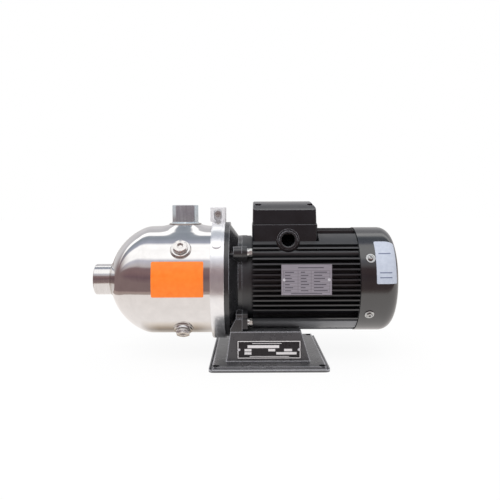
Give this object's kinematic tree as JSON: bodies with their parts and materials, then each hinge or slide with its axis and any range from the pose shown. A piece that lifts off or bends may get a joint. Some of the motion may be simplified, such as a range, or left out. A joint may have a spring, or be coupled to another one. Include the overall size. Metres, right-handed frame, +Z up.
{
  "type": "multistage centrifugal pump",
  "caption": "Horizontal multistage centrifugal pump with a domed stainless casing, threaded inlet and outlet, close-coupled fan-cooled motor and cast foot.",
  "frame": {"origin": "centre of the four base bolt holes, in the plane the foot stands on", "axes": "+X along the shaft from the inlet to the fan, +Y to the back, +Z up along the outlet"},
  "size_m": [0.4624, 0.217, 0.242],
  "materials": {
    "polished_stainless": "mirror polished",
    "turned_stainless": "turned",
    "plug_steel": "satin",
    "seal_fibre": "matt",
    "pressed_stainless": "satin",
    "impeller_steel": "satin",
    "white_ptfe": "matt",
    "black_rubber": "matt",
    "white_ceramic": "polished",
    "seal_steel": "satin",
    "clamp_stainless": "bright",
    "zinc_steel": "zinc plated",
    "plain_steel": "oiled",
    "black_cast_iron": "satin paint",
    "black_paint": "satin paint",
    "core_steel": "varnished",
    "copper_winding": "varnished",
    "shaft_steel": "ground",
    "bearing_steel": "ground",
    "black_plastic": "satin",
    "brown_phenolic": "matt",
    "brass": "bright",
    "bare_aluminium": "satin",
    "black_plate": "satin"
  },
  "bodies": {
    "pump": {"pump_casing": "polished_stainless", "inlet_socket": "turned_stainless", "outlet_socket": "turned_stainless", "plug_bosses": "turned_stainless", "inlet_cover": "pressed_stainless", "stage_chamber_1": "pressed_stainless", "stage_chamber_2": "pressed_stainless", "stage_chamber_3": "pressed_stainless", "discharge_chamber": "pressed_stainless", "neck_rings": "white_ptfe", "casing_o_ring": "black_rubber", "seal_cover": "pressed_stainless", "seal_seat": "white_ceramic", "clamp_band": "clamp_stainless", "clamp_bolt": "zinc_steel", "clamp_nut": "zinc_steel", "bracket": "black_cast_iron", "foot": "black_cast_iron", "flange_bolts": "zinc_steel", "foot_bolts": "plain_steel", "motor_housing": "black_paint", "stator_core": "core_steel", "stator_windings": "copper_winding", "drive_end_shield": "black_paint", "fan_end_shield": "black_paint", "drive_bearing_outer": "bearing_steel", "fan_bearing_outer": "bearing_steel", "tie_bolts": "plain_steel", "fan_cover": "black_paint", "fan_cover_screws": "zinc_steel", "terminal_box": "black_paint", "terminal_gasket": "black_rubber", "terminal_lid": "black_paint", "lid_screws": "zinc_steel", "terminal_board": "brown_phenolic", "terminal_studs": "brass", "cable_gland": "black_plastic", "motor_nameplate": "bare_aluminium", "pump_nameplate": "black_plate", "plate_rivets": "zinc_steel"},
    "rotor": {"shaft": "shaft_steel", "impeller_1": "impeller_steel", "impeller_2": "impeller_steel", "impeller_3": "impeller_steel", "impeller_4": "impeller_steel", "spacer_sleeves": "turned_stainless", "shaft_nut": "turned_stainless", "seal_head": "seal_steel", "rotor_core": "core_steel", "drive_bearing_inner": "bearing_steel", "fan_bearing_inner": "bearing_steel", "cooling_fan": "black_plastic", "fan_clip": "plain_steel", "slinger": "black_rubber"},
    "drive_balls": {"drive_bearing_balls": "bearing_steel"},
    "fan_balls": {"fan_bearing_balls": "bearing_steel"},
    "priming_washer": {"priming_washer": "seal_fibre"},
    "priming_plug": {"priming_plug": "plug_steel"},
    "drain_washer": {"drain_washer": "seal_fibre"},
    "drain_plug": {"drain_plug": "plug_steel"}
  },
  "joints": [
    {"name": "rotor_spin", "type": "hinge", "parent": "pump", "child": "rotor", "pos_m": [0, 0, 0.12], "axis": [1, 0, 0], "continuous": true},
    {"name": "drive_cage_spin", "type": "hinge", "parent": "pump", "child": "drive_balls", "pos_m": [-0.013, 0, 0.12], "axis": [1, 0, 0], "continuous": true},
    {"name": "fan_cage_spin", "type": "hinge", "parent": "pump", "child": "fan_balls", "pos_m": [0.126, 0, 0.12], "axis": [1, 0, 0], "continuous": true},
    {"name": "priming_lift", "type": "slide", "parent": "pump", "child": "priming_washer", "axis": [0, -0.788, 0.6157], "range_m": [0, 0.00802]},
    {"name": "priming_turn", "type": "hinge", "parent": "priming_washer", "child": "priming_plug", "pos_m": [-0.1282, -0.06935, 0.17418], "axis": [0, -0.788, 0.6157], "range_deg": [0, 2160]},
    {"name": "drain_lift", "type": "slide", "parent": "pump", "child": "drain_washer", "axis": [0, -0.5736, -0.8192], "range_m": [0, 0.00802]},
    {"name": "drain_turn", "type": "hinge", "parent": "drain_washer", "child": "drain_plug", "pos_m": [-0.1282, -0.05047, 0.04791], "axis": [0, -0.5736, -0.8192], "range_deg": [0, 2160]}
  ],
  "couplings": [
    {"joint": "drive_cage_spin", "follows": "rotor_spin", "ratio": 0.387},
    {"joint": "fan_cage_spin", "follows": "rotor_spin", "ratio": 0.387},
    {"joint": "priming_lift", "follows": "priming_turn", "m_per_rad": 0.00021279},
    {"joint": "drain_lift", "follows": "drain_turn", "m_per_rad": 0.00021279}
  ]
}
